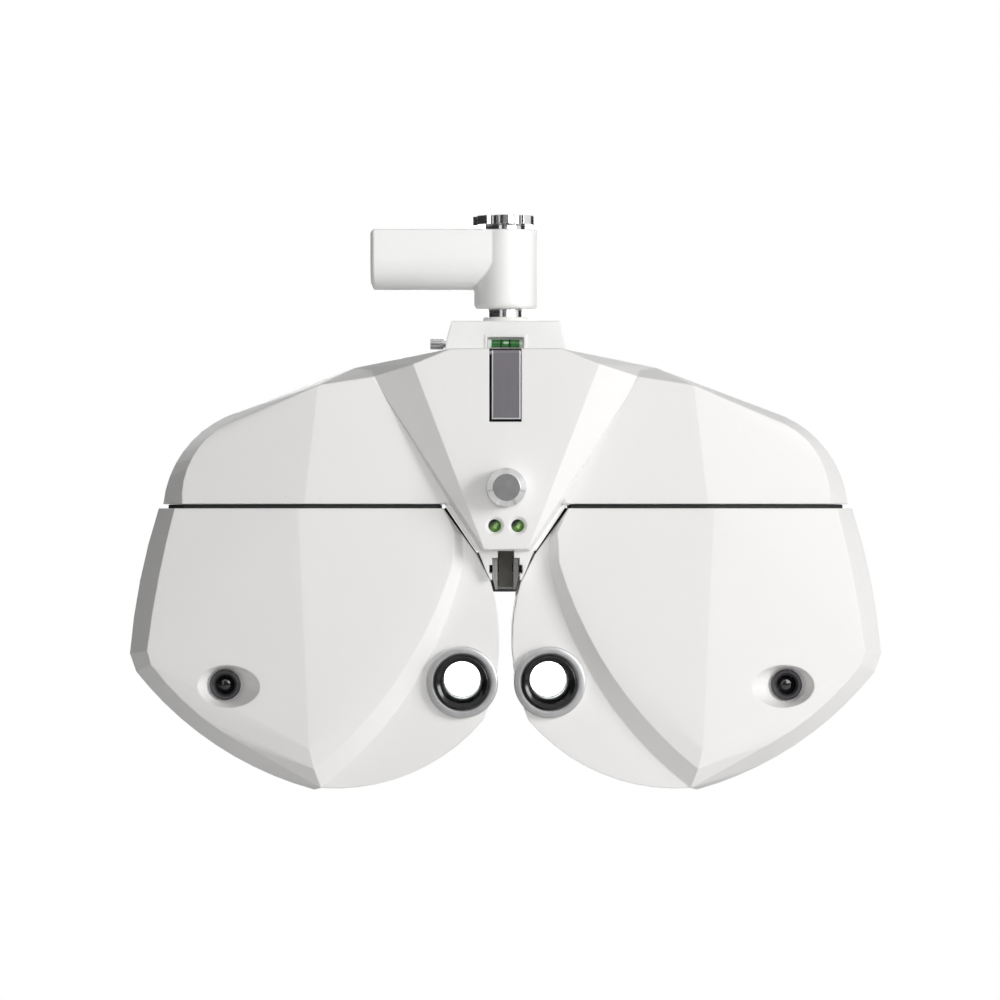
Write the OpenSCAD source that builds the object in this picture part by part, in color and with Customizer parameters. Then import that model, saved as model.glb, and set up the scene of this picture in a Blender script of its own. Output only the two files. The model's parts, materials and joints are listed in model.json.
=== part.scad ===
// Motorised phoropter head: two lens-disc heads under a bridge, hung from an arm sleeve.
// Origin: centre of the arm socket's mouth. +X runs along the arm, -Y faces the examiner, +Z is up.

/* [Arm] */
// Distance from the socket mouth to the swivel axis
arm_reach = 75; // [65:1:100]
// Width and height of the arm sleeve
arm_w = 33; // [31:0.5:36]
// Diameter of the arm socket
socket_d = 22; // [16:0.5:24]
// Depth of the arm socket
socket_depth = 45; // [25:1:48]
// Diameter of the tapped hole for the arm's set screw
set_screw_d = 6; // [4:0.5:8]
// Distance from the socket mouth to the set screw
set_screw_x = 20; // [10:1:30]
// Diameter of the vertical hub
hub_d = 36; // [34:0.5:42]
// How far the hub reaches below the arm's axis
hub_drop = 27.5; // [24:0.5:32]
// Rounding of the hub's lower edge
hub_fillet = 3; // [1:0.5:4]

/* [Swivel] */
// Diameter of the swivel shaft
swivel_d = 19; // [14:0.5:20]
// Diameter of the head that carries the shaft on the hub's shoulder
shaft_head_d = 24; // [22:0.5:26]
// Thickness of the shaft's head
shaft_head_h = 4; // [3:0.5:5]
// Diameter of the lobed clamp knob
clamp_d = 37; // [32:0.5:44]
// Thickness of the clamp knob's rim
clamp_h = 5; // [4:0.5:8]
// Number of lobes round the clamp knob
clamp_lobes = 8; // [6:1:12]
// Gap under the clamp knob's rim
clamp_lift = 3; // [2:0.5:6]
// Width of the tilt block at the foot of the shaft
tilt_block_w = 20; // [16:0.5:22]
// Depth of the tilt block
tilt_block_y = 22; // [18:0.5:24]
// Height of the tilt block
tilt_block_h = 24; // [21:0.5:26]
// Diameter of the tilt pin
tilt_pin_d = 6; // [4:0.5:8]
// Height of the tilt pin above the block's foot
tilt_pin_rise = 8; // [6:0.5:10]

/* [Bracket] */
// Width of the bracket at its top
bracket_top_w = 59.5; // [54:0.5:62]
// Width of the bracket where it enters the cover
bracket_w = 67; // [64:0.5:70]
// Depth of the bracket
bracket_y = 50; // [46:1:54]
// Gap between hub and bracket collar
collar_gap = 4.5; // [3:0.5:6]
// Height of the bracket's collar
collar_h = 3; // [2:0.5:4]
// Height of the bracket
bracket_h = 33; // [31:0.5:36]
// Width of the level window
level_w = 20; // [16:0.5:24]
// Height of the level window
level_h = 5.8; // [5:0.2:7]
// Diameter of the level vial
vial_d = 5; // [4:0.2:5.4]
// Diameter of the level knob
level_knob_d = 6.2; // [5:0.2:8]
// Length of the level knob
level_knob_l = 7.5; // [5:0.5:9]
// Diameter of the level screw
level_screw_d = 4; // [3:0.2:5]

/* [Bridge] */
// Half width of the upper cover at its foot
wing_half = 189.5; // [184:0.5:194]
// Height of the cover's foot below the arm's axis
wing_foot = 136.3; // [135:0.1:138]
// Height of the cover's crown below the arm's axis
wing_crown = 50.4; // [49:0.2:52]
// Half width of the centre panel's tip
tip_half = 12; // [10:0.5:14]
// How far the centre panel's tip hangs below the cover's foot
tip_drop = 25.7; // [24:0.1:27]
// How far the centre panel stands out in front of the swivel axis
panel_front = 58; // [56:0.5:62]
// How far the wings and shields stand out at their ridge
ridge_front = 50; // [48:0.5:52]
// Wall of the moulded covers
wall = 2.5; // [2:0.1:3]
// Where the front covers meet the rear covers
split_y = -4; // [-8:0.5:0]
// How far the covers reach behind the swivel axis
rear_y = 42; // [40:0.5:46]
// Diameter of the guide rods
rod_d = 8; // [6:0.5:10]
// Diameter of the pupil-distance screw
pd_screw_d = 8; // [6:0.5:10]
// Distance from each guide rod to the screw
rod_step = 14; // [13:0.5:16]
// Diameter of the pupil-distance motor
pd_motor_d = 20; // [16:1:22]
// Length of the pupil-distance motor
pd_motor_l = 22; // [16:1:24]

/* [Centre panel fittings] */
// Width of the near-rod holder plate
holder_w = 15.6; // [14:0.1:17]
// Height of the near-rod holder plate
holder_h = 39; // [34:0.5:40]
// Thickness of the near-rod holder plate
holder_t = 3; // [2:0.2:4]
// Diameter of the holder's hinge pin
holder_pin_d = 2; // [1.6:0.1:2.4]
// Diameter of the forehead knob
forehead_knob_d = 21; // [18:0.5:26]
// Diameter of the knob's flat end
forehead_face_d = 14.8; // [12:0.2:17]
// Length of the forehead knob
forehead_knob_l = 14; // [10:0.5:18]
// Height of the forehead knob above the cover's foot
forehead_knob_rise = 8.8; // [8:0.1:10]
// Diameter of the forehead screw
forehead_screw_d = 8; // [6:0.5:9]
// Distance between the two near lamps
lamp_step = 12.5; // [11:0.5:14]
// Diameter of a near lamp
lamp_d = 7; // [5:0.2:8]
// How far the near lamps sit below the cover's foot
lamp_drop = 11.9; // [11.2:0.1:12.6]

/* [Forehead rest] */
// Width of the hanger bar
hanger_bar_w = 7.6; // [6:0.2:8]
// Width of the steel clevis
clevis_w = 14.4; // [14:0.2:14.8]
// Thickness of the clevis sheet
clevis_t = 2.8; // [2.4:0.1:3]
// Diameter of the clevis cross-pin
cross_pin_d = 4; // [3:0.2:4.6]
// Width of the forehead pad
pad_w = 64; // [50:1:80]
// Height of the forehead pad
pad_h = 24; // [18:1:28]
// Thickness of the forehead pad
pad_t = 13; // [10:0.5:18]

/* [Heads] */
// Smallest pupil distance
pd_min = 48; // [48:0.5:52]
// How far the lens windows sit below the cover's foot
window_drop = 97.7; // [96:0.1:99]
// Diameter of the black window bezel
bezel_d = 29; // [28:0.5:30]
// Bore of the bezel tube
bezel_bore = 24; // [22:0.5:24.5]
// Diameter of the bright ring round the bezel
ring_d = 39; // [36:0.2:39.2]
// Bore of the eyepiece at its front end
aperture_d = 20; // [17:0.5:20.5]
// Diameter of the eyepiece tube
eyepiece_d = 27; // [25:0.5:30]
// Diameter of the face shield
shield_d = 37; // [36.4:0.2:38]
// Distance from the swivel axis to each convergence pivot
pivot_x = 90; // [84:0.5:96]
// Diameter of the convergence pivot
pivot_d = 12; // [8:0.5:13]
// How far the convergence pivot stands in front of the swivel axis
pivot_front = 28; // [27:0.2:28.4]
// Diameter of the alignment window's ring
align_d = 17; // [14:0.5:18]
// Diameter of the alignment window's glass
align_glass_d = 11; // [9:0.5:12]

/* [Lens discs] */
// Number of openings round a lens disc
lens_count = 10; // [8:1:10]
// Radius at which the lenses sit
lens_r = 44; // [43.6:0.1:44.2]
// Diameter of each lens
lens_d = 18; // [15:0.5:18.2]
// Thickness of a lens disc
disc_t = 4; // [3:0.5:5]
// Distance between the two lens discs
disc_step = 10; // [8:0.5:11]
// Module of the rim teeth
tooth_m = 1.5; // [1.5:0.01:1.52]
// Teeth round a lens disc
disc_teeth = 76; // [75:1:76]
// Teeth round a motor pinion
pinion_teeth = 10; // [10:1:12]
// Diameter of the disc axle
axle_d = 10; // [8:0.5:14]
// Diameter of the disc motors
motor_d = 24; // [18:1:25]
// Length of the disc motors
motor_l = 13; // [10:0.5:13.4]

/* [Clearances] */
// Radial clearance of a turning or sliding shaft
shaft_fit = 0.06; // [0.03:0.01:0.1]
// Gap between pieces that only pass each other
pass_gap = 0.6; // [0.4:0.1:0.8]
// Play between meshing teeth
tooth_play = 0.4; // [0.3:0.05:0.5]

/* [Hidden] */
$fn = 64;
COMMON = [
  "arm_sleeve", "clamp_knob", "swivel_shaft", "tilt_pin", "top_bracket", "level_vial",
  "level_knob", "bridge_frame", "upper_front_cover", "upper_rear_cover", "guide_rods",
  "pd_screw", "pd_motor", "near_lamps", "lamp_board", "near_rod_holder", "holder_pin",
  "forehead_knob", "forehead_carriage", "hanger_clevis", "cross_pin", "forehead_pad"
];
PER_SIDE = [
  "carriage", "front_cover", "rear_cover", "chassis", "window_ring", "window_bezel",
  "window_glass", "align_ring", "align_glass", "eyepiece", "face_shield", "disc_axle",
  "sphere_disc", "sphere_lenses", "cylinder_disc", "cylinder_lenses", "disc_motors",
  "sphere_pinion", "cylinder_pinion"
];

// Heights down the middle, measured from the arm's axis
hub_top = arm_w / 2;
shoulder_z = 0;
collar_top = -hub_drop - collar_gap;
bracket_top = collar_top - collar_h;
bracket_foot = bracket_top - bracket_h;
roof_t = 2.5;
block_top = bracket_top - roof_t - 1.5;
tilt_z = block_top - tilt_block_h + tilt_pin_rise;
tilt_room = 1.4;
level_z = bracket_top - 12;
level_screw_z = bracket_top - 11.5;
bracket_front = bracket_y / 2;

// Places measured down from the cover's foot and out from its half width
function below(d) = -wing_foot - d;
function beyond(d) = -wing_half - d;

// Outlines of the upper cover, seen from the front, left half
wing_side = [beyond(-13.5), below(-32.3)];
wing_corner = [beyond(-34.7), below(-48.4)];
wing_top = [-83.5, -wing_crown - 10.5];
crown_half = 30;
throat_half = 33.4;
throat_drop = wing_foot + 0.6;
throat_land = 3.4;
throat_y = -45;
tip_z = below(tip_drop);
tip_foot_half = tip_half + 4.4;
knob_z = below(-forehead_knob_rise);
lamp_z = below(lamp_drop);
bevel_y = -22;
wing_face_y = -42;
room_front = -39;
panel_shoulder = [50.7, -wing_crown - 9.9];

// Outline of a lower head, left side
gap_under_cover = 2.4;
head_top = wing_foot + gap_under_cover;
head_outer = [beyond(2.5), -head_top];
head_flank = [beyond(11.5), below(35.7)];
head_corner = [beyond(18.5), below(82.7)];
head_chin = [beyond(15), below(92.7)];
head_belly = [-157, below(135.6)];
head_keel = [-106, below(158.1)];
crescent_low = [-41.6, below(142.6)];
crescent_turn = [-12.3, below(118.5)];
crescent_side = [-3.9, below(83.7)];
crescent_high = [-8.3, below(42.8)];
throat_low = [-16.2, below(27.4)];
throat_high = [-34.2, -head_top];
crescent_y = -40;
step_y = -48;
window_x = pd_min / 2;
window = [-window_x, below(window_drop)];

// Lens discs: centre, teeth and places along the optical axis
disc_rise = 11.4;
disc_c = window + [-sqrt(lens_r * lens_r - disc_rise * disc_rise), disc_rise];
disc_pitch_r = tooth_m * disc_teeth / 2;
pinion_pitch_r = tooth_m * pinion_teeth / 2;
mesh_r = disc_pitch_r + pinion_pitch_r + tooth_play / 2;
sphere_y = -14;
cylinder_y = sphere_y + disc_step;
sphere_motor_a = 150;
cylinder_motor_a = 198;
plate_y0 = -22;
plate_t = 3;
disc_hub_d = axle_d + 10;
disc_hub_over = 1.5;
lens_seat_t = 1.2;
free_d = aperture_d + 0.6;

// Bridge mechanism
screw_y = -14;
rod_z = below(-32);
shelf_t = 5;
carriage_w = 28;
carriage_h = 18;
lug_x = wing_half - 61.5;
lug_t = 6;
spigot_foot = -head_top - 18;
flange_d = pivot_d + 4;
flange_t = 2;
pd_travel = 16;
forehead_travel = 15;
stem_d = 6;
seat_fit = 0.03;
seam = 0.8;

// Points on the circle through a, b and c, from a to c
function bend(a, b, c, n) =
  let (
    d = 2 * (a.x * (b.y - c.y) + b.x * (c.y - a.y) + c.x * (a.y - b.y)),
    sa = a * a,
    sb = b * b,
    sc = c * c,
    ux = (sa * (b.y - c.y) + sb * (c.y - a.y) + sc * (a.y - b.y)) / d,
    uy = (sa * (c.x - b.x) + sb * (a.x - c.x) + sc * (b.x - a.x)) / d,
    u = [ux, uy],
    r = norm(a - u),
    t0 = atan2(a.y - uy, a.x - ux),
    turn = atan2(c.y - uy, c.x - ux) - t0,
    sweep = turn > 180 ? turn - 360 : (turn < -180 ? turn + 360 : turn)
  )
  [for (i = [0:n]) u + r * [cos(t0 + sweep * i / n), sin(t0 + sweep * i / n)]];

// Unit normal to the left of the step from a to b
function left_of(a, b) = [a.y - b.y, b.x - a.x] / norm(b - a);

// Twice the signed area of an outline
function signed(pts) =
  let (n = len(pts))
  [for (i = [0:n - 1]) pts[i].x * pts[(i + 1) % n].y - pts[(i + 1) % n].x * pts[i].y]
  * [for (i = [0:n - 1]) 1];

// A convex outline drawn in by t on every side
function inset(pts, t) =
  let (
    n = len(pts),
    hand = signed(pts) > 0 ? 1 : -1
  )
  [
    for (i = [0:n - 1])
      let (
        before = hand * left_of(pts[(i + n - 1) % n], pts[i]),
        after = hand * left_of(pts[i], pts[(i + 1) % n])
      )
      pts[i] + t * (before + after) / (1 + before * after)
  ];

function after_first(pts) = [for (i = [1:len(pts) - 1]) pts[i]];
function mirrored(pts) = [for (i = [len(pts) - 1:-1:0]) [-pts[i].x, pts[i].y]];
function at_depth(pts, y) = [for (p = pts) [p.x, y, p.y]];
function polar(c, r, a) = c + r * [cos(a), sin(a)];

// Trapezoid teeth round a wheel, one tooth centred on the angle phase
function toothed(teeth, m, phase) =
  let (
    r = m * teeth / 2,
    half = (PI * m / 2 - tooth_play) / 2,
    rise = 0.8 * m,
    fall = 1.05 * m,
    lean = tan(20)
  )
  [
    for (i = [0:teeth - 1])
      for (corner = [
        [r - fall, -half - fall * lean],
        [r + rise, -half + rise * lean],
        [r + rise, half - rise * lean],
        [r - fall, half + fall * lean]
      ])
        let (a = phase + 360 * i / teeth + corner.y / corner.x * 180 / PI)
        corner.x * [cos(a), sin(a)]
  ];

// A front outline pulled along Y, from y0 to y1
module slab(pts, y0, y1) {
  translate([0, y1, 0])
    rotate([90, 0, 0])
      linear_extrude(y1 - y0)
        polygon(pts);
}

module rod_along_y(d, c, y0, y1) {
  translate([c.x, y1, c.y])
    rotate([90, 0, 0])
      cylinder(d = d, h = y1 - y0);
}

module rod_along_x(d, y, z, x0, x1) {
  translate([x0, y, z])
    rotate([0, 90, 0])
      cylinder(d = d, h = x1 - x0);
}

module box(x0, x1, y0, y1, z0, z1) {
  translate([x0, y0, z0])
    cube([x1 - x0, y1 - y0, z1 - z0]);
}

// A ring profile of [radius, y] points turned round an axis along Y
module turned_y(profile, c) {
  translate([c.x, 0, c.y])
    rotate([-90, 0, 0])
      rotate_extrude()
        polygon(profile);
}

// The faceted skin stretched over a set of corners
module skin(points) {
  hull()
    polyhedron(points = points, faces = [[for (i = [0:len(points) - 1]) i]]);
}

// Left pieces are drawn as they are and right pieces are their mirror image
module on_side(name) {
  if (name == "right") {
    mirror([1, 0, 0])
      children();
  } else {
    children();
  }
}

// Arm and swivel

// Section of the sleeve, drawn in by t: flat on top and round below
module sleeve_outline(t) {
  half = arm_w / 2 - t;
  union() {
    circle(r = half);
    translate([-half, 0])
      square([2 * half, half]);
  }
}

module arm_sleeve() {
  mouth = 2;
  color("whitesmoke")
    difference() {
      union() {
        translate([-arm_reach + mouth, 0, 0])
          rotate([90, 0, 90])
            linear_extrude(arm_reach - mouth)
              sleeve_outline(0);
        translate([-arm_reach, 0, 0])
          rotate([90, 0, 90])
            hull() {
              linear_extrude(mouth)
                sleeve_outline(mouth);
              translate([0, 0, mouth / 2])
                linear_extrude(mouth / 2)
                  sleeve_outline(mouth / 4);
              translate([0, 0, 0.9 * mouth])
                linear_extrude(0.1 * mouth)
                  sleeve_outline(0);
            }
        rotate_extrude()
          union() {
            translate([0, -hub_drop])
              square([hub_d / 2 - hub_fillet, hub_fillet * 2]);
            translate([0, -hub_drop + hub_fillet])
              square([hub_d / 2, hub_top + hub_drop - hub_fillet]);
            translate([hub_d / 2 - hub_fillet, -hub_drop + hub_fillet])
              circle(r = hub_fillet);
          }
      }
      rod_along_x(socket_d, 0, 0, -arm_reach - 1, -arm_reach + socket_depth);
      rod_along_y(set_screw_d, [-arm_reach + set_screw_x, 0], 0, arm_w);
      translate([0, 0, -hub_drop - 1])
        cylinder(d = swivel_d + 2 * shaft_fit, h = hub_drop + hub_top);
      translate([0, 0, shoulder_z])
        cylinder(d = shaft_head_d + pass_gap, h = hub_top + 1);
    }
}

module clamp_knob() {
  rim_z = hub_top + clamp_lift;
  neck_d = shaft_head_d - 2 * pass_gap;
  neck_foot = shoulder_z + shaft_head_h + 2 * pass_gap;
  scoop_d = 0.22 * clamp_d;
  color("silver")
    union() {
      difference() {
        translate([0, 0, rim_z])
          cylinder(d = clamp_d, h = clamp_h);
        for (i = [0:clamp_lobes - 1])
          rotate([0, 0, 360 / clamp_lobes * (i + 0.5)])
            translate([clamp_d / 2 + scoop_d / 4, 0, rim_z - 1])
              cylinder(d = scoop_d, h = clamp_h + 2);
        translate([0, 0, rim_z + clamp_h - 1])
          difference() {
            cylinder(d = 0.62 * clamp_d, h = 2);
            translate([0, 0, -1])
              cylinder(d = 0.34 * clamp_d, h = 4);
          }
      }
      translate([0, 0, neck_foot])
        cylinder(d = neck_d, h = rim_z - neck_foot);
    }
}

module swivel_shaft() {
  color("gainsboro")
    difference() {
      union() {
        translate([0, 0, shoulder_z])
          cylinder(d = shaft_head_d, h = shaft_head_h);
        translate([0, 0, block_top])
          cylinder(d = swivel_d, h = shoulder_z - block_top);
        box(-tilt_block_w / 2, tilt_block_w / 2, -tilt_block_y / 2, tilt_block_y / 2,
          block_top - tilt_block_h, block_top);
      }
      rod_along_y(tilt_pin_d, [0, tilt_z], -tilt_block_y, tilt_block_y);
    }
}

module tilt_pin() {
  pin_l = tilt_block_y + 12;
  color("dimgray")
    rod_along_y(tilt_pin_d, [0, tilt_z], -pin_l / 2, pin_l / 2);
}

module top_bracket() {
  top = bracket_top_w / 2;
  base = bracket_w / 2;
  waist_z = bracket_top - 15.5;
  flank = bend([-top, bracket_top], [-top - 2, bracket_top - 7], [-base, waist_z], 6);
  outline = concat(flank, [[-base, bracket_foot], [base, bracket_foot]], mirrored(flank));
  block_x = tilt_block_w / 2 + tilt_room;
  block_y = tilt_block_y / 2 + pass_gap;
  frame = 1.6;
  color("whitesmoke")
    difference() {
      union() {
        slab(outline, -bracket_front, bracket_front);
        translate([0, 0, bracket_top])
          cylinder(d1 = swivel_d + 9, d2 = swivel_d + 6, h = collar_h);
        box(-level_w / 2 - frame, level_w / 2 + frame, -bracket_front - 0.3, 0,
          level_z - level_h / 2 - frame, level_z + level_h / 2 + frame);
      }
      translate([0, 0, block_top - 1])
        cylinder(d = swivel_d + 2 * tilt_room, h = collar_top - block_top + 2);
      box(-block_x, block_x, -block_y, block_y, bracket_foot - 1, bracket_top - roof_t);
      rod_along_y(tilt_pin_d + 2 * shaft_fit, [0, tilt_z], -bracket_y, bracket_y);
      rod_along_x(level_screw_d + 2 * shaft_fit, 0, level_screw_z, -bracket_w, 0);
      box(-level_w / 2, level_w / 2, -bracket_front - 2, -bracket_front + vial_d + 1,
        level_z - level_h / 2, level_z + level_h / 2);
    }
}

module level_vial() {
  y = -bracket_front + vial_d / 2 + 1;
  cap = 2;
  vial_l = level_w - 0.4;
  seat_z = level_z - level_h / 2 + vial_d / 2;
  color("seagreen")
    union() {
      rod_along_x(vial_d - 0.6, y, seat_z, -vial_l / 2, vial_l / 2);
      for (s = [-1, 1])
        rod_along_x(vial_d, y, seat_z, s * (vial_l - cap) / 2 - cap / 2, s * (vial_l - cap) / 2 + cap / 2);
    }
}

module level_knob() {
  face_x = -bracket_w / 2;
  neck = 0.8;
  tip_x = -tilt_block_w / 2 - tilt_room;
  flutes = 10;
  color("silver")
    difference() {
      union() {
        rod_along_x(level_screw_d, 0, level_screw_z, face_x - neck - 1, tip_x);
        rod_along_x(level_knob_d, 0, level_screw_z, face_x - neck - level_knob_l, face_x - neck);
      }
      for (i = [0:flutes - 1])
        translate([0, 0, level_screw_z])
          rotate([360 / flutes * i, 0, 0])
            rod_along_x(0.9, 0, level_knob_d / 2, face_x - level_knob_l - 2, face_x - neck - 1.2);
    }
}

// Bridge: covers, frame and pupil-distance drive

wing_left = concat(
  bend([-wing_half, -wing_foot], wing_side, wing_corner, 8),
  [wing_top, [-crown_half, -wing_crown]]
);
wing_outline = concat(wing_left, mirrored(wing_left));
throat_outline = [
  [-throat_half, -throat_drop + 10],
  [-throat_half, -throat_drop],
  [-tip_foot_half, tip_z],
  [tip_foot_half, tip_z],
  [throat_half, -throat_drop],
  [throat_half, -throat_drop + 10]
];

// Inner edge of a wing's bevel, and the point where the bevel meets the centre panel's slope
wing_face = bend([-wing_half + 12, -wing_foot], wing_side + [10, 1.5], wing_corner + [1.5, -4.6], 8);
wing_inner = [-73, -wing_crown - 16.4];
face_left = concat(wing_face, [wing_inner]);
face_outline = concat(face_left, mirrored(face_left));

// One wing's bevelled face, from its outer edge to the middle
module wing_skin() {
  skin(concat(
    at_depth(concat(wing_left, [[0, -wing_crown], [0, -wing_foot]]), bevel_y),
    at_depth(wing_face, wing_face_y),
    [
      [-102.6, -ridge_front + 2, -wing_crown - 21],
      [-110.2, -ridge_front, -wing_foot],
      [wing_inner.x, step_y + 1, wing_inner.y],
      [-throat_half, step_y, -wing_foot]
    ]
  ));
}

module centre_panel_skin() {
  front = [
    [panel_shoulder.x, panel_shoulder.y],
    [crown_half, -wing_crown - 1.6],
    [-crown_half, -wing_crown - 1.6],
    [-panel_shoulder.x, panel_shoulder.y],
    [-tip_half, tip_z + 1],
    [tip_half, tip_z + 1]
  ];
  foot = [
    [-wing_inner.x, wing_inner.y],
    [throat_half - throat_land, -throat_drop],
    [tip_foot_half - throat_land, tip_z]
  ];
  back = [[-wing_top.x, wing_top.y], [throat_half, -throat_drop], [tip_foot_half, tip_z]];
  skin(concat(
    at_depth(front, -panel_front),
    at_depth(concat(foot, mirrored(foot)), throat_y - 1),
    at_depth([[crown_half, -wing_crown], [-crown_half, -wing_crown]], -30),
    at_depth(concat(back, mirrored(back)), bevel_y)
  ));
}

// Room inside the throat of the upper cover, open to the room above it
module throat_room(y0, y1) {
  half = 20;
  slab(concat([[-half, -wing_foot + 12]],
    inset([for (i = [1:4]) throat_outline[i]], wall),
    [[half, -wing_foot + 12]]), y0, y1);
}

module bracket_well() {
  gap = pass_gap / 2;
  box(-bracket_w / 2 - gap, bracket_w / 2 + gap, -bracket_front - gap, bracket_front + gap,
    bracket_foot - shelf_t - gap, bracket_top);
}

// Slots under the cover for the convergence pivots
module pivot_slots() {
  for (s = [-1, 1]) {
    near = s * pivot_x;
    far = s * (pivot_x + pd_travel);
    slot_d = pivot_d + 2 * pass_gap;
    for (x = [near, far])
      translate([x, -pivot_front, -wing_foot - 1])
        cylinder(d = slot_d, h = wall + 2);
    box(min(near, far), max(near, far), -pivot_front - slot_d / 2, -pivot_front + slot_d / 2,
      -wing_foot - 1, -wing_foot + wall + 1);
  }
}

holder_top = -wing_crown - 0.9;
holder_recess = holder_t + 2;
holder_pin_y = -panel_front + holder_t / 2;
holder_pin_z = holder_top - 3;
hanger_y0 = -24;
hanger_y1 = -18;
cross_z = tip_z - 10;
cross_y = (hanger_y0 + hanger_y1) / 2;
cross_half = clevis_w / 2 + 1.6;
clevis_top = tip_z - 4.5;
rest_z = tip_z - 13;
pad_y = rear_y + 11;

// Lip below the panel's tip, notched round the hanger bar, the clevis and its pin
module throat_lip() {
  back = throat_y + 3.5;
  side = [10.9, tip_z - 11];
  foot = [8.6, tip_z - 16];
  right = [[tip_foot_half - seam, tip_z + 1], side, foot];
  bar = hanger_bar_w / 2 + pass_gap;
  clevis = (clevis_w + pass_gap) / 2;
  pin = cross_half + pass_gap / 2;
  pin_r = (cross_pin_d + pass_gap) / 2;
  difference() {
    slab(concat(right, mirrored(right)), throat_y, back);
    box(-bar, bar, throat_y - 1, back + 1, foot.y - 1, tip_z + 2);
    box(-clevis, clevis, throat_y - 1, back + 1, foot.y - 1, clevis_top + pass_gap);
    box(-pin, pin, throat_y - 1, back + 1, cross_z - pin_r, cross_z + pin_r);
  }
}

module upper_front_cover() {
  recess_gap = 1.4;
  recess_left = holder_w / 2 + recess_gap;
  recess_right = holder_w / 2 + 0.5;
  pin_hole = holder_w / 2 + 4;
  countersink = 1.5;
  color("white")
    difference() {
      union() {
        wing_skin();
        mirror([1, 0, 0])
          wing_skin();
        centre_panel_skin();
        slab(wing_outline, bevel_y, split_y);
        slab(throat_outline, throat_y, split_y);
        throat_lip();
      }
      slab(inset(wing_outline, wall), bevel_y, split_y + 1);
      slab(inset(face_outline, wall), room_front, bevel_y + 1);
      throat_room(room_front, split_y + 1);
      bracket_well();
      pivot_slots();
      box(-recess_left, recess_right, -panel_front - 1, -panel_front + holder_recess,
        holder_top - holder_h - recess_gap, holder_top + 5);
      rod_along_x(holder_pin_d, holder_pin_y, holder_pin_z, -pin_hole, pin_hole);
      rod_along_y(forehead_screw_d + 2 * shaft_fit, [0, knob_z], -panel_front - 1, -30);
      for (s = [-1, 1]) {
        rod_along_y(lamp_d, [s * lamp_step / 2, lamp_z], -panel_front - 1, -30);
        translate([s * lamp_step / 2, -panel_front - 0.01, lamp_z])
          rotate([-90, 0, 0])
            cylinder(d1 = lamp_d + 2 * countersink, d2 = lamp_d, h = countersink);
      }
      hanger_slot();
    }
}

module hanger_slot() {
  half = hanger_bar_w / 2 + pass_gap;
  box(-half, half, hanger_y0 - pass_gap, hanger_y1 + forehead_travel + pass_gap,
    tip_z - 1, tip_z + wall + 1);
}

guide_y = 4;
guide_t = 12;

// Tongue below the throat that guides the pad's stem
module stem_guide() {
  half = 6.2;
  foot = rest_z - 5.5;
  slab([
    [-tip_foot_half + seam, tip_z + 1],
    [-half, foot],
    [half, foot],
    [tip_foot_half - seam, tip_z + 1]
  ], guide_y, guide_y + guide_t);
}

module upper_rear_cover() {
  edge = 9;
  shoulder_y = rear_y - edge;
  slots = 6;
  slot_half = 24;
  slot_step = 6;
  slot_h = 2.5;
  color("white")
    difference() {
      union() {
        slab(inset(wing_outline, seam), split_y, split_y + seam);
        slab(inset(throat_outline, seam), split_y, split_y + seam);
        slab(wing_outline, split_y + seam, shoulder_y);
        slab(throat_outline, split_y + seam, shoulder_y);
        stem_guide();
        skin(concat(at_depth(wing_outline, shoulder_y), at_depth(inset(wing_outline, edge), rear_y)));
        skin(concat(
          at_depth(throat_outline, shoulder_y),
          at_depth([[-tip_half, tip_z + edge], [tip_half, tip_z + edge]], rear_y),
          at_depth([[-throat_half, -throat_drop + 20], [throat_half, -throat_drop + 20]], rear_y)
        ));
      }
      slab(inset(wing_outline, wall), split_y - 1, shoulder_y - 1);
      throat_room(split_y - 1, shoulder_y - 1);
      bracket_well();
      hanger_slot();
      rod_along_y(stem_d + 2 * shaft_fit, [0, rest_z], guide_y - 1, guide_y + guide_t + 1);
      for (s = [-1, 1])
        for (i = [0:slots - 1])
          box(s * 96 - slot_half, s * 96 + slot_half, shoulder_y - 2, rear_y + 1,
            below(-18.3 - slot_step * i), below(-18.3 - slot_step * i - slot_h));
    }
}

module bridge_frame() {
  back_y = 12;
  back_t = 5;
  shelf_z = bracket_foot - shelf_t;
  top_half = 70;
  color("lightsteelblue")
    difference() {
      union() {
        box(-lug_x, lug_x, back_y, back_y + back_t, rod_z - 12, rod_z + 12);
        box(-top_half, top_half, back_y, back_y + back_t, rod_z, bracket_foot);
        box(-bracket_w / 2, bracket_w / 2, -bracket_front, back_y + back_t, shelf_z, bracket_foot);
        for (s = [-1, 1])
          box(s * lug_x - lug_t / 2, s * lug_x + lug_t / 2, screw_y - rod_step - 8, back_y + back_t,
            rod_z - 10, rod_z + 12);
      }
      for (y = [screw_y - rod_step, screw_y + rod_step])
        rod_along_x(rod_d, y, rod_z, -lug_x - lug_t, lug_x + lug_t);
      rod_along_x(pd_screw_d + 2 * shaft_fit, screw_y, rod_z, -lug_x - lug_t, lug_x + lug_t);
      for (s = [-1, 1])
        for (i = [0, 1])
          rod_along_y(22, [s * (50 + 48 * i), rod_z], back_y - 1, back_y + back_t + 1);
    }
}

module guide_rods() {
  color("silver")
    for (y = [screw_y - rod_step, screw_y + rod_step])
      rod_along_x(rod_d, y, rod_z, -lug_x - lug_t / 2, lug_x + lug_t / 2);
}

// Screw with a right-hand half and a left-hand half, parted by a plain collar
module pd_screw() {
  color("lightgray")
    union() {
      rod_along_x(pd_screw_d, screw_y, rod_z, -lug_x - lug_t / 2, lug_x + lug_t + 4);
      rod_along_x(pd_screw_d + 4, screw_y, rod_z, -5, 5);
    }
}

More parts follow.
